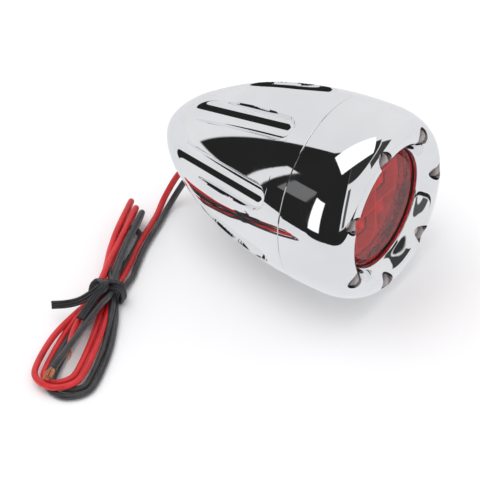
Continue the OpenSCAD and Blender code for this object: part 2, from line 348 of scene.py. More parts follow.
def copper(name, line, replaced, seed):
    """Splayed strands of bare copper past the end of a wire."""
    rng = np.random.default_rng(seed)
    tip = line[-1]
    ahead = (line[-1] - line[-4]) / np.linalg.norm(line[-1] - line[-4])
    side = np.cross(ahead, (0, 0, 1))
    side /= np.linalg.norm(side)
    up = np.cross(side, ahead)
    strands = []
    for k in range(11):
        turn = 2 * math.pi * k / 10
        out = side * math.cos(turn) + up * math.sin(turn)
        root = tip - ahead * 0.6 * MM + out * (0 if k == 10 else 0.5 * MM)
        splay = out * rng.uniform(0.15, 1.1) * MM
        reach = ahead * rng.uniform(3.2, 4.6) * MM
        twist = np.cross(ahead, splay) * 0.5
        points = [root + reach * t + splay * t**2 + twist * math.sin(3 * t) for t in np.linspace(0, 1, 9)]
        strands.append(tube("strand", points, 0.15 * MM, 6))
    obj = joined(name, strands)
    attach(obj, "shell")
    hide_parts(replaced)
    return obj


def ribbon(name, path, width, thick, ribs, up_at):
    """A flat ribbed strip swept along a path in mm; up_at gives its face's direction at each point."""
    section = []
    steps = ribs * 6
    for k in range(steps + 1):
        x = (k / steps - 0.5) * width
        section.append((x, thick / 2 + 0.12 * math.cos(2 * math.pi * ribs * k / steps + math.pi)))
    section += [(x, -y) for x, y in reversed(section)]
    verts, faces, n = [], [], len(section)
    for i, p in enumerate(path):
        ahead = path[min(i + 1, len(path) - 1)] - path[max(i - 1, 0)]
        ahead = ahead / np.linalg.norm(ahead)
        up = np.array(up_at(i), float)
        up -= ahead * (up @ ahead)
        up /= np.linalg.norm(up)
        side = np.cross(ahead, up)
        verts += [(p + side * x + up * y) * MM for x, y in section]
    for i in range(len(path) - 1):
        for k in range(n):
            m = (k + 1) % n
            faces.append([i * n + k, i * n + m, (i + 1) * n + m, (i + 1) * n + k])
    faces += [list(range(n)), list(range(len(verts) - 1, len(verts) - n - 1, -1))]
    return new_mesh(name, verts, faces, 50)


# The tie's two tails, as places (u, v, h) on the hank
TIE_TAILS = (
    [(-1.2, 1.6, 6.9), (0.4, 0.8, 7.7), (2.2, -0.6, 7.6), (4.8, -2.4, 7.0), (7.8, -4.8, 6.6),
     (9.6, -8, 6.3), (10.2, -12.2, 5.6)],
    [(-1.0, -1.8, 6.9), (0.6, -0.4, 7.9), (2.4, 0.4, 7.7), (4.6, -0.6, 7.3), (7.4, -1.2, 7.2),
     (11, -1.6, 7.2), (15, -2.2, 7)],
)
TIE_THICK = 0.7
TIE_RIBS = 3


def make_tie():
    """Two turns of a ribbed twist tie round the waist, twisted together on top, with its two tails."""
    across, low, high = 4.5, 0.45, 6.6
    half_along, shift, steps = 1.9, -0.4, 96
    centre = (low + high) / 2
    turns = []
    for k in range(steps + 1):
        a = 4 * math.pi * k / steps - math.pi / 2
        c, s = math.cos(a), math.sin(a)
        bulge = (abs(c) ** 4 + abs(s) ** 4) ** -0.25
        along = half_along * (k / steps - 0.5) * 2 + shift
        turns.append((along, across * c * bulge, centre + (high - centre) * s * bulge))
    ring = np.array([hank_point(*p) for p in turns])
    middle = np.array(hank_point(0, 0, centre))
    pieces = [ribbon("tie_ring", ring, 2.0, TIE_THICK, TIE_RIBS, lambda i: ring[i] - middle)]
    for k, route in enumerate(TIE_TAILS):
        path = through([hank_point(*p) for p in route], 8)
        turn = [math.pi * 1.4 * min(1, i / 22) + (math.pi / 2) * k for i in range(len(path))]

        def facing(i, turn=turn):
            return (math.sin(turn[i]) * 0.8, math.sin(turn[i]) * 0.5, 0.3 + abs(math.cos(turn[i])))

        pieces.append(ribbon("tie_tail", path, 2.2, TIE_THICK, TIE_RIBS, facing))
    tie = joined("twist_tie", pieces)
    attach(tie, "shell")
    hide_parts("hank_tie")
    return tie


TIE = make_tie()
RED_COPPER = copper("red_copper_end", RED_LINE, "red_wire_end", 3)
BLACK_COPPER = copper("black_copper_end", BLACK_LINE, "black_wire_end", 8)
RED_WIRE = wire("red_lead", RED_LINE, ["red_wire", "wire_hank"])
BLACK_WIRE = wire("black_lead", BLACK_LINE, ["black_wire"])


# ---------------------------------------------------------------- chromed shell and ring
EDGE_BLEND = 0.7
NO_CUT = 99.0


def fluted(rr, s, phi):
    """The skin's radius with the flutes cut into it. A flute is a round groove along a straight line, with a
    ball at its front end: where a ray from the axis meets the groove is the root of a quadratic."""
    s0, r0 = FLUTE_START
    end_r = float(tail_radius(FLUTE_END_S)) - FLUTE_DEPTH
    k = (end_r - r0) / (FLUTE_END_S - s0)
    m = r0 + FLUTE_R - k * s0
    centre_r, centre_s = end_r + FLUTE_R, FLUTE_END_S
    spacing = 2 * math.pi / FLUTES
    psi = phi % spacing - spacing / 2
    a, sin2 = np.cos(psi), np.sin(psi) ** 2
    q = 1 + k * k
    aa = a * a + sin2 - (k * a) ** 2 / q
    bb = -2 * a * m - 2 * k * a * (s - k * m) / q
    cc = m * m + s * s - (s - k * m) ** 2 / q - FLUTE_R**2
    disc = bb * bb - 4 * aa * cc
    cut = np.where(disc > 0, (-bb - np.sqrt(np.maximum(disc, 0))) / (2 * aa), NO_CUT)
    ball = a * a * centre_r**2 - centre_r**2 - (s - centre_s) ** 2 + FLUTE_R**2
    ball_r = np.where(ball > 0, a * centre_r - np.sqrt(np.maximum(ball, 0)), NO_CUT)
    past = (np.minimum(cut, rr) * a - centre_r) * k + (s - centre_s) > 0
    cut = np.where(past, ball_r, cut)
    well_above = rr + 4
    return np.where(cut < well_above, smooth_min(rr, np.minimum(cut, well_above), EDGE_BLEND), rr)


def crowded(r, s, phi):
    """The columns' angles on one row, moved closer together along the edges of the flutes."""
    reach, crowding, narrow = 0.03, 5, 0.06
    spacing = 2 * math.pi / FLUTES
    fine = np.linspace(0, spacing, 801)
    cut = fine[fluted(np.full(len(fine), r), s, fine) < r - 0.05]
    half = float(np.max(np.abs(cut - spacing / 2))) if len(cut) else 0.0
    from_edge = (np.abs(fine - spacing / 2) - half) / reach
    density = 1 + crowding * min(1, half / narrow) * np.exp(-(from_edge**2))
    share = np.concatenate([[0], np.cumsum((density[1:] + density[:-1]) / 2)])
    sector = np.floor(phi / spacing + 1e-9)
    within = phi / spacing - sector
    return (sector + np.interp(within, share / share[-1], fine / spacing)) * spacing


def make_shell():
    """Shell with its flutes, threaded spigot, stepped cavities, mounting pad and wire bore."""
    places = (SEAM_S - 0.2) * np.linspace(0, 1, 230)[1:] ** 1.35
    ball_ends = np.arange(FLUTE_END_S + 2.5, FLUTE_END_S + 5, 0.1)
    places = np.unique(np.concatenate([places, ball_ends]).round(3))
    skin = [(0.0, 0.0)] + [(float(tail_radius(s)), float(s)) for s in places]
    inner = [(tail_radius(SEAM_S) - 0.35, SEAM_S), (SPIGOT_R, SEAM_S)]
    root_r = SPIGOT_R - 0.4
    thread = []
    for k in range(6):
        s = SEAM_S + 0.6 + 0.8 * k
        thread += [(root_r, s), (SPIGOT_R, s + 0.25), (SPIGOT_R, s + 0.45), (root_r, s + 0.7)]
    bore = [(root_r, SPIGOT_END_S)]
    s_before = SPIGOT_END_S
    for r, s in reversed(CAVITY_STEPS):
        bore += [(r, s_before), (r, s)]
        s_before = s
    bore.append((0, s_before))
    profile = skin + inner + thread + bore
    fluted_rows = len(skin)

    def radius_at(i, r, s, phi):
        if i >= fluted_rows:
            return phi, np.full(len(phi), r)
        turns = crowded(r, s, phi)
        return turns, fluted(np.full(len(phi), r), s, turns)

    shell = lathe("chrome_shell", profile, around=480, angle=40, radius_at=radius_at)
    pad = pad_block()
    boolean(shell, pad, "UNION")
    boolean(shell, rod(MOUNT_R * MM, Vector((0, 0, -2 * MM)), Vector((0, 0, MOUNT_DEPTH * MM))))
    beyond = 18
    mouth, root = at(0, EXIT_ROOT_S - beyond, -beyond), at(0, EXIT_ROOT_S + 3, 3)
    boolean(shell, rod(EXIT_R * MM, root, mouth))
    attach(shell, "shell")
    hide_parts("tail_shell")
    return shell


def pad_block():
    """The mounting pad with softened edges."""
    (rear_s, rear_half), (front_s, front_half) = PAD_REAR, PAD_FRONT
    rear_y, front_y = MOUNT_S - rear_s, MOUNT_S - front_s
    outline = [(rear_half, rear_y), (front_half, front_y), (-front_half, front_y), (-rear_half, rear_y)]
    verts = [(x * MM, y * MM, z * MM) for z in (0, PAD_TOP) for x, y in outline]
    faces = [[0, 1, 2, 3], [7, 6, 5, 4]] + [[i, i + 4, (i + 1) % 4 + 4, (i + 1) % 4] for i in range(4)]
    pad = new_mesh("pad", verts, faces)
    bm = bmesh.new()
    bm.from_mesh(pad.data)
    bmesh.ops.recalc_face_normals(bm, faces=bm.faces)
    edges = [e for e in bm.edges if min(v.co.z for v in e.verts) < 0.001]
    bmesh.ops.bevel(bm, geom=edges, offset=0.6 * MM, segments=4, affect="EDGES", profile=0.5)
    bm.to_mesh(pad.data)
    bm.free()
    shade(pad)
    return pad


def make_ring():
    """Front ring: rebate for the washer, rounded nose, dished face and the pocket for the lens."""
    floor_s = SEAM_S + GASKET_REBATE
    back = [(GASKET_REBATE_R, floor_s), (GASKET_REBATE_R, SEAM_S)]
    outer = [(float(tail_radius(SEAM_S)) - 0.2, SEAM_S)]
    outer += [(float(tail_radius(s)), float(s)) for s in np.linspace(SEAM_S + 0.2, WIDEST_S, 24)]
    outer += [
        (RIDGE_R + (BODY_R - RIDGE_R) * math.cos(t), WIDEST_S + (BODY_LONG - WIDEST_S) * math.sin(t))
        for t in np.linspace(0, math.pi / 2, 44)[1:]
    ]
    dish = through([(RIDGE_R, BODY_LONG), (20.2, 74.85), (19.4, 74.1), (18.4, 72.7), (17.5, 71.3),
                    (17.05, 70.75)], 5)
    dished = [(r, s) for r, s in dish[1:]]
    inside = [(OPENING_R, 70.55), (OPENING_R, LIP_BACK_S), (POCKET_R, LIP_BACK_S), (POCKET_R, RING_FLOOR_S),
              (RING_CAVITY_R, RING_FLOOR_S), (RING_CAVITY_R, floor_s)]
    ring = lathe("chrome_ring", back + outer + dished + inside, around=320, angle=40)
    holes = []
    for k in range(MARKERS):
        t = 2 * math.pi * k / MARKERS
        x, up = MARKER_CIRCLE_R * math.cos(t), MARKER_CIRCLE_R * math.sin(t)
        holes.append(rod(MARKER_HOLE_R * MM, at(x, 64, up), at(x, 77, up), 40))
    boolean(ring, joined("holes", holes))
    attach(ring, "ring")
    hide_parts("front_ring")
    return ring


SHELL = make_shell()
RING = make_ring()


def plain_lathe(name, profile, body, replaced):
    """A turned part that stands for one CAD node."""
    obj = lathe(name, profile, 192, 40)
    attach(obj, body)
    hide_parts(replaced)
    return obj


def make_lens():
    """Lens with a flat front, a rolled edge, a stepped rim and a hollow back. Its flange is behind the ring's
    lip."""
    flat_r, roll, inner_s = 14.7, 0.4, 67.2
    front = [(0, LENS_FRONT_S), (flat_r, LENS_FRONT_S)] + arc((flat_r, LENS_FRONT_S - roll), roll, 80, 20, 5)
    step = [(15.6, 69.0), (15.8, 68.8), (16.0, 68.8), (16.2, 69.1), (16.4, 69.2), (16.7, 69.2)]
    flange = [(16.9, LENS_FLANGE_S), (17.8, LENS_FLANGE_S), (LENS_R, 68.8), (LENS_R, LENS_BACK_S)]
    back = [(16.8, LENS_BACK_S), (16.4, inner_s), (0, inner_s)]
    return plain_lathe("red_lens", front + step + flange + back, "ring", "lens")


def make_seal():
    """Rubber washer between the lens and the ring's lip."""
    inner_r, play = 17.1, 0.02
    back_s, front_s = LENS_FLANGE_S + play, LIP_BACK_S - play
    section = [(inner_r, back_s), (LENS_R, back_s), (LENS_R, front_s), (inner_r, front_s)]
    return plain_lathe("lens_seal_ring", section, "ring", "lens_seal")


def make_gasket():
    """Rubber washer in the seam, with softened edges."""
    inner_r, outer_r, thick = 24.6, 25.7, 0.7
    section = [(inner_r + 0.2, 0), (outer_r - 0.1, 0), (outer_r, 0.1), (outer_r, thick - 0.1),
               (outer_r - 0.1, thick), (inner_r + 0.2, thick), (inner_r, thick - 0.2), (inner_r, 0.2)]
    section = [(r, SEAM_S + forward) for r, forward in section]
    return plain_lathe("seam_washer", section, "gasket", "seam_gasket")


def rounded_box(cx, cy, half, s_back, s_front, bevel):
    """A bevelled block in the board's grid, from s_back to s_front."""
    bm = bmesh.new()
    bmesh.ops.create_cube(bm, size=1)
    low, high = at(cx - half, s_back, cy - half), at(cx + half, s_front, cy + half)
    for v in bm.verts:
        v.co = Vector([low[k] + (v.co[k] + 0.5) * (high[k] - low[k]) for k in range(3)])
    bmesh.ops.bevel(bm, geom=bm.edges[:], offset=bevel * MM, segments=2, affect="EDGES", profile=0.5)
    bmesh.ops.recalc_face_normals(bm, faces=bm.faces)
    mesh = bpy.data.meshes.new("block")
    bm.to_mesh(mesh)
    bm.free()
    obj = bpy.data.objects.new("block", mesh)
    bpy.context.scene.collection.objects.link(obj)
    return obj


def grid_spots():
    """Centres of the lamp's nine LEDs."""
    return [(i * LED_PITCH, j * LED_PITCH) for i in (-1, 0, 1) for j in (-1, 0, 1)]


def turned(profile, cx, cy, around=32):
    """A small lathe part about a line beside the axis."""
    obj = lathe("turned", profile, around, 40)
    obj.data.transform(Matrix.Translation((cx * MM, 0, cy * MM)))
    return obj


def make_cluster():
    """The lamp's LEDs: square bodies on the board, each with a low dome."""
    half, top_s, dome_r, dome_high, sunk = 1.5, 63.5, 1.2, 0.6, 0.05
    blocks = [rounded_box(x, y, half, BOARD_FRONT_S, top_s, 0.12) for x, y in grid_spots()]
    leds = joined("lamp_leds", blocks)
    dome = [(dome_r, top_s - sunk)]
    for a in range(0, 90, 15):
        t = math.radians(a)
        dome.append((dome_r * math.cos(t), top_s + dome_high * math.sin(t)))
    dome += [(0, top_s + dome_high), (0, top_s - sunk)]
    windows = joined("lamp_led_windows", [turned(dome, x, y) for x, y in grid_spots()])
    for obj in (leds, windows):
        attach(obj, "ring")
    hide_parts("cluster_leds")
    return leds, windows


def make_reflector():
    """Tray of square cups whose walls lean outwards."""
    back_s, front_s, rim_r = BOARD_FRONT_S + 0.02, 65.2, 15.6
    side = [(0, back_s), (TRAY_R, back_s), (TRAY_R, front_s - 0.2), (TRAY_R - 0.2, front_s), (0, front_s)]
    tray = lathe("reflector_tray", side, 128, 40)
    corners = ((-1, -1), (1, -1), (1, 1), (-1, 1))
    # a cup's half width at two places along the axis
    cup_ends = ((60, 3.3), (65.6, 4.45))
    cutters = []
    for x, y in grid_spots():
        verts = [at(x + sx * half, s, y + sy * half) for s, half in cup_ends for sx, sy in corners]
        faces = [[0, 1, 2, 3], [7, 6, 5, 4]] + [[i, i + 4, (i + 1) % 4 + 4, (i + 1) % 4] for i in range(4)]
        cup = new_mesh("cup", verts, faces)
        bm = bmesh.new()
        bm.from_mesh(cup.data)
        bmesh.ops.recalc_face_normals(bm, faces=bm.faces)
        upright = [e for e in bm.edges if abs(e.verts[0].co.y - e.verts[1].co.y) > 0.003]
        bmesh.ops.bevel(bm, geom=upright, offset=0.7 * MM, segments=4, affect="EDGES", profile=0.5)
        bm.to_mesh(cup.data)
        bm.free()
        cutters.append(cup)
    cups = joined("cups", cutters)
    inside = lathe("inside", [(0, 60), (rim_r, 60), (rim_r, 66), (0, 66)], 128, 40)
    boolean(cups, inside, "INTERSECT")
    boolean(tray, cups)
    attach(tray, "ring")
    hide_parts("cluster_reflector")
    return tray


def marker_spots():
    """Centres of the marker LEDs."""
    for k in range(MARKERS):
        t = 2 * math.pi * k / MARKERS
        yield MARKER_CIRCLE_R * math.cos(t), MARKER_CIRCLE_R * math.sin(t)


def make_markers():
    """Clear LEDs with a rounded front, and in each the metal cup, post and chip that show through it."""
    back_s, round_s, led_r, flat_r = 66.0, 71.5, 2.05, 0.35
    outline = [(0, back_s), (2.0, back_s), (led_r, back_s + 0.05), (led_r, back_s + 0.4), (led_r, round_s)]
    for a in range(10, 91, 10):
        t = math.radians(a)
        r = flat_r + (led_r - flat_r) * math.cos(t)
        outline.append((r, round_s + (MARKER_TOP_S - round_s) * math.sin(t)))
    outline.append((0, MARKER_TOP_S))
    shells = joined("marker_lamps", [turned(outline, x, y, 40) for x, y in marker_spots()])
    chip_s = 69.8
    cup = [(0, 68.2), (0.45, 68.2), (0.45, 69.4), (1.25, 70.5), (1.05, 70.5), (0.35, chip_s), (0, chip_s)]
    post = [(0, 66.2), (0.22, 66.2), (0.3, 70.2), (0, 70.2)]
    cups, chips = [], []
    for x, y in marker_spots():
        cups.append(turned(cup, x, y, 24))
        cups.append(turned(post, x + 1.35, y, 12))
        chips.append(rounded_box(x, y, 0.3, chip_s, chip_s + 0.3, 0.03))
    frames = joined("marker_lead_frames", cups)
    dies = joined("marker_chips", chips)
    for obj, slot in ((shells, "clear_led"), (frames, "steel"), (dies, "cluster_led")):
        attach(obj, "ring")
    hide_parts("marker_leds")
    return shells, frames, dies


def make_bushes():
    """Dark bushes between the marker LEDs and their holes."""
    bush = [(2.08, 65.5), (2.55, 65.5), (2.58, 71.4), (2.5, 71.6), (2.2, 71.6), (2.08, 71.5)]
    obj = joined("marker_holders", [turned(bush, x, y, 40) for x, y in marker_spots()])
    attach(obj, "ring")
    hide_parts("marker_bushes")
    return obj


def make_grommet():
    """Rubber plug at the mouth of the slanting bore, with a rounded edge."""
    plug = [(0, -GROMMET_LONG), (2.55, -GROMMET_LONG), (EXIT_R, 0.2 - GROMMET_LONG), (EXIT_R, -0.8),
            (2.5, -0.5), (2.35, -0.15), (2.1, 0), (0, 0)]
    obj = lathe("lead_grommet", plug, 64, 40)
    # the lathe turns about -Y with s measured from the tip: bring it to the origin and then onto the bore
    obj.data.transform(Matrix.Translation(-at(0, 0, 0)))
    tilt = math.radians(EXIT_TILT)
    mouth = at(0, EXIT_ROOT_S - EXIT_FAR * math.cos(tilt), -EXIT_FAR * math.sin(tilt))
    obj.data.transform(Matrix.Translation(mouth) @ Matrix.Rotation(tilt + math.pi, 4, "X"))
    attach(obj, "shell")
    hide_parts("wire_grommet")
    return obj


LENS = make_lens()
SEAL = make_seal()
GASKET = make_gasket()
LEDS, LED_WINDOWS = make_cluster()
TRAY = make_reflector()
MARKER_SHELLS, MARKER_FRAMES, MARKER_CHIPS = make_markers()
BUSHES = make_bushes()
GROMMET = make_grommet()


# ---------------------------------------------------------------- materials
class Recipe:
    """A node material with short calls for the nodes that the recipes share."""

    def __init__(self, name):
        self.material = bpy.data.materials.new(name)
        self.material.use_nodes = True
        self.tree = self.material.node_tree
        self.tree.nodes.clear()
        self.out = self.node("ShaderNodeOutputMaterial")

    def node(self, kind, **values):
        """A new node with its properties set."""
        n = self.tree.nodes.new(kind)
        for key, value in values.items():
            setattr(n, key, value)
        return n

    def link(self, a, b):
        self.tree.links.new(a, b)

    def noise(self, scale, detail=3.0, rough=0.5):
        """Noise in the object's own coordinates."""
        coords = self.node("ShaderNodeTexCoord")
        n = self.node("ShaderNodeTexNoise")
        n.inputs["Scale"].default_value = scale
        n.inputs["Detail"].default_value = detail
        n.inputs["Roughness"].default_value = rough
        self.link(coords.outputs["Object"], n.inputs["Vector"])
        return n.outputs["Fac"]

    def ramp(self, fac, *stops):
        """A colour for each value, from stops (place, colour)."""
        n = self.node("ShaderNodeValToRGB")
        while len(n.color_ramp.elements) < len(stops):
            n.color_ramp.elements.new(0.5)
        for e, (place, colour) in zip(n.color_ramp.elements, stops):
            e.position = place
            e.color = (*colour, 1)
        self.link(fac, n.inputs["Fac"])
        return n.outputs["Color"]

    def spread(self, fac, low, high):
        """The noise's usual range stretched to low and high."""
        n = self.node("ShaderNodeMapRange")
        ends = {"From Min": 0.3, "From Max": 0.7, "To Min": low, "To Max": high}
        for key, value in ends.items():
            n.inputs[key].default_value = value
        self.link(fac, n.inputs["Value"])
        return n.outputs["Result"]

    def bump(self, height, strength, distance):
        n = self.node("ShaderNodeBump")
        n.inputs["Strength"].default_value = strength
        n.inputs["Distance"].default_value = distance
        self.link(height, n.inputs["Height"])
        return n.outputs["Normal"]

    def principled(self, **values):
        n = self.node("ShaderNodeBsdfPrincipled")
        for key, value in values.items():
            n.inputs[key.replace("_", " ")].default_value = value
        self.link(n.outputs["BSDF"], self.out.inputs["Surface"])
        return n


def chrome():
    """Polished plating: a faint orange peel in the metal under it and a trace of handling marks."""
    m = Recipe("chrome_plate")
    p = m.principled(Metallic=1.0)
    tint = m.ramp(m.noise(60, 2), (0.3, (0.86, 0.87, 0.885)), (0.7, (0.93, 0.935, 0.945)))
    m.link(tint, p.inputs["Base Color"])
    m.link(m.spread(m.noise(140, 6, 0.65), 0.015, 0.06), p.inputs["Roughness"])
    m.link(m.bump(m.noise(900, 2), 0.03, 0.00004), p.inputs["Normal"])
    return m.material


def metal(name, dark, light, rough=(0.18, 0.35), scale=400.0):
    """Worked metal with a fine grain in its colour and gloss."""
    m = Recipe(name)
    p = m.principled(Metallic=1.0)
    m.link(m.ramp(m.noise(scale, 4), (0.3, dark), (0.7, light)), p.inputs["Base Color"])
    m.link(m.spread(m.noise(scale * 2.3, 5), *rough), p.inputs["Roughness"])
    m.link(m.bump(m.noise(scale * 4, 3), 0.15, 0.00005), p.inputs["Normal"])
    return m.material


def plastic(name, dark, light, rough=(0.3, 0.5), scale=300.0, grain=0.15, coat=0.0):
    """Moulded plastic or rubber with a fine grain."""
    m = Recipe(name)
    p = m.principled(Coat_Weight=coat, Coat_Roughness=0.15)
    m.link(m.ramp(m.noise(scale, 4), (0.3, dark), (0.7, light)), p.inputs["Base Color"])
    m.link(m.spread(m.noise(scale * 1.7, 5), *rough), p.inputs["Roughness"])
    m.link(m.bump(m.noise(scale * 6, 3), grain, 0.00006), p.inputs["Normal"])
    return m.material


def clear(name, tint_dark, tint_light, ior, film=0.0, scale=120.0):
    """Clear plastic: light goes through it tinted, and its outer side mirrors by Fresnel. The inner side does
    not, because a ray that isn't bent on its way in would be held inside. film is the share that scatters."""
    m = Recipe(name)
    through_it = m.node("ShaderNodeBsdfTransparent")
    m.link(m.ramp(m.noise(scale, 2), (0.25, tint_dark), (0.75, tint_light)), through_it.inputs["Color"])
    gloss = m.node("ShaderNodeBsdfGlossy")
    m.link(m.spread(m.noise(scale * 4, 4), 0.01, 0.05), gloss.inputs["Roughness"])
    m.link(m.bump(m.noise(scale * 3, 2), 0.04, 0.00005), gloss.inputs["Normal"])
    fresnel = m.node("ShaderNodeFresnel")
    fresnel.inputs["IOR"].default_value = ior
    side = m.node("ShaderNodeNewGeometry")
    outer = m.node("ShaderNodeMath", operation="SUBTRACT")
    outer.inputs[0].default_value = 1
    m.link(side.outputs["Backfacing"], outer.inputs[1])
    mirrored = m.node("ShaderNodeMath", operation="MULTIPLY")
    m.link(fresnel.outputs["Fac"], mirrored.inputs[0])
    m.link(outer.outputs["Value"], mirrored.inputs[1])
    mix = m.node("ShaderNodeMixShader")
    m.link(mirrored.outputs["Value"], mix.inputs["Fac"])
    inner = through_it.outputs["BSDF"]
    if film:
        haze = m.node("ShaderNodeBsdfDiffuse")
        m.link(m.ramp(m.noise(scale * 2, 2), (0.25, tint_dark), (0.75, tint_light)), haze.inputs["Color"])
        hazy = m.node("ShaderNodeMixShader")
        hazy.inputs["Fac"].default_value = film
        m.link(inner, hazy.inputs[1])
        m.link(haze.outputs["BSDF"], hazy.inputs[2])
        inner = hazy.outputs["Shader"]
    m.link(inner, mix.inputs[1])
    m.link(gloss.outputs["BSDF"], mix.inputs[2])
    m.link(mix.outputs["Shader"], m.out.inputs["Surface"])
    return m.material


def insulation(name, dark, light):
    """Soft PVC with the slight waviness of stranded wire under it."""
    m = Recipe(name)
    p = m.principled(Coat_Weight=0.25, Coat_Roughness=0.2)
    m.link(m.ramp(m.noise(180, 3), (0.3, dark), (0.7, light)), p.inputs["Base Color"])
    m.link(m.spread(m.noise(700, 4), 0.26, 0.44), p.inputs["Roughness"])
    m.link(m.bump(m.noise(650, 3), 0.25, 0.00008), p.inputs["Normal"])
    return m.material


def circuit_board():
    """Green solder mask with copper traces showing as slightly lighter lines."""
    m = Recipe("circuit_board_green")
    p = m.principled()
    coords = m.node("ShaderNodeTexCoord")
    cells = m.node("ShaderNodeTexVoronoi", feature="DISTANCE_TO_EDGE")
    cells.inputs["Scale"].default_value = 260
    m.link(coords.outputs["Object"], cells.inputs["Vector"])
    m.link(m.ramp(cells.outputs["Distance"], (0.04, (0.03, 0.22, 0.08)), (0.09, (0.01, 0.10, 0.035))),
           p.inputs["Base Color"])
    m.link(m.spread(m.noise(500, 3), 0.25, 0.4), p.inputs["Roughness"])
    m.link(m.bump(cells.outputs["Distance"], 0.2, 0.00005), p.inputs["Normal"])
    return m.material


def paint(material, *objects):
    """Gives the objects this one material."""
    for obj in objects:
        obj.data.materials.clear()
        obj.data.materials.append(material)


CHROME = chrome()
BLACK_RUBBER = plastic("black_rubber", (0.012, 0.012, 0.013), (0.03, 0.03, 0.031), (0.45, 0.65), 500, 0.3)
BLACK_PLASTIC = plastic("black_plastic", (0.012, 0.012, 0.014), (0.03, 0.031, 0.034), (0.28, 0.42), 420, 0.2)
WHITE_PLASTIC = plastic("white_plastic", (0.70, 0.69, 0.66), (0.84, 0.83, 0.80), (0.3, 0.45))
BRASS = metal("brass", (0.62, 0.42, 0.16), (0.80, 0.60, 0.28))
STEEL = metal("steel", (0.45, 0.45, 0.46), (0.68, 0.68, 0.69))
paint(CHROME, SHELL, RING)
paint(clear("red_lens", (0.93, 0.10, 0.11), (0.97, 0.15, 0.16), 1.49, 0.04), LENS)
paint(clear("clear_led", (0.90, 0.79, 0.78), (0.97, 0.90, 0.88), 1.5, 0.55, 900), MARKER_SHELLS)
paint(plastic("led_body", (0.80, 0.62, 0.58), (0.95, 0.80, 0.76), (0.25, 0.4)), LEDS)
paint(plastic("led_window", (0.9, 0.28, 0.18), (1.0, 0.42, 0.30), (0.1, 0.2), coat=0.5), LED_WINDOWS)
paint(WHITE_PLASTIC, TRAY)
paint(STEEL, MARKER_FRAMES)
paint(plastic("led_chip", (0.55, 0.30, 0.10), (0.75, 0.45, 0.16), (0.3, 0.4)), MARKER_CHIPS)
paint(BLACK_PLASTIC, BUSHES, TIE)
paint(BLACK_RUBBER, SEAL, GASKET, GROMMET)
paint(insulation("red_pvc", (0.50, 0.008, 0.012), (0.68, 0.022, 0.026)), RED_WIRE)
paint(insulation("black_pvc", (0.018, 0.018, 0.020), (0.045, 0.045, 0.048)), BLACK_WIRE)
paint(metal("copper", (0.62, 0.24, 0.11), (0.85, 0.42, 0.24), (0.2, 0.4), 900), RED_COPPER, BLACK_COPPER)
for node, material in (
    ("inner_red_lead", insulation("inner_red_pvc", (0.45, 0.008, 0.012), (0.6, 0.02, 0.024))),
    ("inner_black_lead", insulation("inner_black_pvc", (0.015, 0.015, 0.016), (0.04, 0.04, 0.042))),
    ("contact_block", plastic("ivory_plastic", (0.62, 0.58, 0.48), (0.76, 0.72, 0.62))),
    ("contact_pins", BRASS),
    ("contact_rings", BRASS),
    ("board_spacers", BRASS),
    ("block_screws", STEEL),
    ("board_screws", STEEL),
    ("marker_pins", STEEL),
    ("retaining_ring", metal("silver_ring", (0.55, 0.55, 0.57), (0.75, 0.75, 0.77))),
    ("led_board", circuit_board()),
    ("resistors", BLACK_PLASTIC),
):
    paint(material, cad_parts[node])


# ---------------------------------------------------------------- floor, sky and lights
def flat(name, outline, height):
    """A flat sheet of the stage, from an outline in metres."""
    sheet = new_mesh(name, [(x, y, height) for x, y in outline], [list(range(len(outline)))])
    m = Recipe(name)
    p = m.principled(Roughness=0.7)
    p.inputs["Specular IOR Level"].default_value = 0.2
    tint = m.ramp(m.noise(3, 2), (0.2, (0.925, 0.925, 0.93)), (0.8, (0.945, 0.945, 0.95)))
    m.link(tint, p.inputs["Base Color"])
    paint(m.material, sheet)
    return sheet


# The white sheet's outline in metres
SHEET = (
    (-0.13, -0.06), (-0.09, -0.12), (-0.05, -0.2), (0, -1.5), (1.5, -1.5), (1.5, 1.5), (-0.8, 1.5),
    (-0.6, 0.5), (-0.26, 0.13), (-0.17, 0.06), (-0.135, 0),
)


def make_floor():
    """A pale floor, and the white sheet on it whose edge shows in the chrome and nowhere else."""
    height = FLOOR_Z * MM - 0.0001
    floor = flat("floor", [(-3, -3), (3, -3), (3, 3), (-3, 3)], height)
    floor.visible_glossy = False
    sheet = flat("white_sheet", SHEET, height)
    sheet.visible_camera = sheet.visible_diffuse = sheet.visible_shadow = False


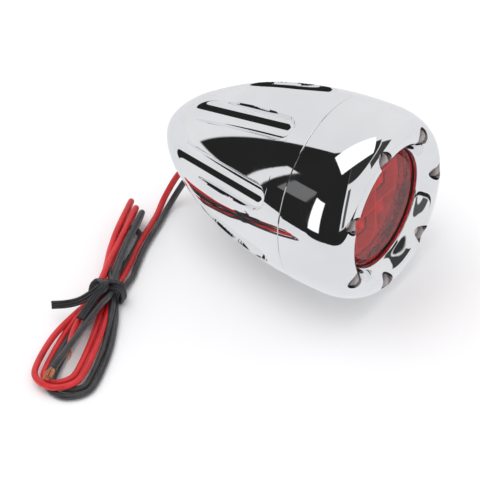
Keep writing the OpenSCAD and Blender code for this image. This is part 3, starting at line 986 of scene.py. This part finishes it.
class Sky(Recipe):
    """The studio as the chrome sees it: bright and dark areas by azimuth and elevation in degrees. Azimuth 0
    is the side away from +X, and it grows towards -Y."""

    def __init__(self, world):
        self.tree = world.node_tree
        self.tree.nodes.clear()
        self.out = self.node("ShaderNodeOutputWorld")
        coords = self.node("ShaderNodeTexCoord")
        split = self.node("ShaderNodeSeparateXYZ")
        self.link(coords.outputs["Generated"], split.inputs["Vector"])
        self.x, self.y, self.z = (split.outputs[k] for k in "XYZ")
        minus_x = self.maths("MULTIPLY", self.x, -1)
        minus_y = self.maths("MULTIPLY", self.y, -1)
        self.azimuth = self.maths("DEGREES", self.maths("ARCTAN2", minus_y, minus_x))
        self.elevation = self.maths("DEGREES", self.maths("ARCSINE", self.z))

    def maths(self, operation, a, b=None):
        """The result of one operation on one or two sockets or numbers."""
        n = self.node("ShaderNodeMath", operation=operation)
        for socket, value in zip(n.inputs, (a, b)):
            if value is None:
                continue
            if isinstance(value, (int, float)):
                socket.default_value = value
            else:
                self.link(value, socket)
        return n.outputs["Value"]

    def edge(self, value, place, soft):
        """0 below place and 1 above it."""
        n = self.node("ShaderNodeMapRange", interpolation_type="SMOOTHSTEP")
        n.inputs["From Min"].default_value = place - soft / 2
        n.inputs["From Max"].default_value = place + soft / 2
        self.link(value, n.inputs["Value"])
        return n.outputs["Result"]

    def between(self, value, low, high, soft):
        """1 from low to high, and 0 outside."""
        above = self.edge(value, low, soft)
        below = self.maths("SUBTRACT", 1, self.edge(value, high, soft))
        return self.maths("MULTIPLY", above, below)

    def patch(self, azimuths, elevations, soft):
        """1 on a rectangle of azimuths and elevations, and 0 outside."""
        return self.maths("MULTIPLY", self.between(self.azimuth, *azimuths, soft[0]),
                          self.between(self.elevation, *elevations, soft[1]))

    def lay(self, under, mask, level):
        """level where mask is 1, and under elsewhere."""
        n = self.node("ShaderNodeMix", data_type="FLOAT")
        n.inputs["B"].default_value = level
        self.link(mask, n.inputs["Factor"])
        if isinstance(under, float):
            n.inputs["A"].default_value = under
        else:
            self.link(under, n.inputs["A"])
        return n.outputs["Result"]


# How bright the studio is to the mirrors, to everything else, and at its softbox
STUDIO_LEVEL = 0.80
PLAIN_LEVEL = 0.92
SOFTBOX_LEVEL = 1.25
# Areas of the studio: azimuths, elevations, softness of the edges, and brightness. Later ones lie over
# earlier ones.
AREAS = (
    ((-180, 180), (-95, -3.5), (2, 2), 0.02),  # the dark floor past the sheet
    ((-76, 34), (5, 95), (2, 2), 0.018),  # the dark half of the room
    ((-48, 34), (-95, 12), (3, 2), 0.018),  # and its lower part
    ((34, 150), (50, 95), (2, 2), 0.03),  # dark overhead, in front of the lens
    ((-40, -30), (16, 30), (1, 1), 0.16),  # a dim window
    ((-26, -8.5), (-8, 26), (1, 1), 1.15),  # a bright window
    ((-49.5, -44), (-5, 37), (1, 1), 0.78),  # a narrow bright strip
    ((39, 47), (-2, 42), (1, 2), 0.09),  # a dark strip in the bright half
    ((98, 142), (30, 48), (2, 2), 0.05),  # a dark patch in front
)


def make_sky():
    """Areas and a softbox that only the mirrors see. The camera and matt surfaces see one plain level."""
    world = bpy.data.worlds.new("studio")
    world.use_nodes = True
    bpy.context.scene.world = world
    sky = Sky(world)
    level = STUDIO_LEVEL
    for azimuths, elevations, soft, brightness in AREAS:
        level = sky.lay(level, sky.patch(azimuths, elevations, soft), brightness)
    # the softbox overhead, a rectangle on a level plane
    turn = math.radians(-35)
    across = sky.maths("DIVIDE", sky.x, sky.z)
    along = sky.maths("DIVIDE", sky.y, sky.z)

    def turned_by(a, b):
        return sky.maths("ADD", sky.maths("MULTIPLY", across, a), sky.maths("MULTIPLY", along, b))

    u = turned_by(math.cos(turn), math.sin(turn))
    v = turned_by(-math.sin(turn), math.cos(turn))
    box = sky.maths("MULTIPLY", sky.between(u, -0.43, 0.6, 0.015), sky.between(v, -0.32, 0.22, 0.015))
    level = sky.lay(level, sky.maths("MULTIPLY", box, sky.edge(sky.elevation, 20, 1)), SOFTBOX_LEVEL)
    path = sky.node("ShaderNodeLightPath")
    shown = sky.node("ShaderNodeMix", data_type="FLOAT")
    sky.link(path.outputs["Is Glossy Ray"], shown.inputs["Factor"])
    shown.inputs["A"].default_value = PLAIN_LEVEL
    sky.link(level, shown.inputs["B"])
    background = sky.node("ShaderNodeBackground")
    tint = sky.node("ShaderNodeCombineColor")
    sky.link(shown.outputs["Result"], tint.inputs["Red"])
    sky.link(shown.outputs["Result"], tint.inputs["Green"])
    sky.link(sky.maths("MULTIPLY", shown.outputs["Result"], 1.01), tint.inputs["Blue"])
    sky.link(tint.outputs["Color"], background.inputs["Color"])
    sky.link(background.outputs["Background"], sky.out.inputs["Surface"])


def softbox(name, centre, aim, width, height, power):
    """A soft lamp. The chrome sees the sky's own bright areas in its place."""
    lamp = bpy.data.lights.new(name, "AREA")
    lamp.shape = "RECTANGLE"
    lamp.size = width
    lamp.size_y = height
    lamp.energy = power
    obj = bpy.data.objects.new(name, lamp)
    obj.location = centre
    obj.rotation_euler = (Vector(aim) - Vector(centre)).to_track_quat("-Z", "Y").to_euler()
    obj.visible_camera = obj.visible_glossy = False
    bpy.context.scene.collection.objects.link(obj)


make_floor()
make_sky()
softbox("overhead_softbox", (-0.15, 0.1, 0.9), (0, 0, 0), 0.8, 0.6, 2.5)
bpy.context.scene.view_settings.view_transform = "Standard"
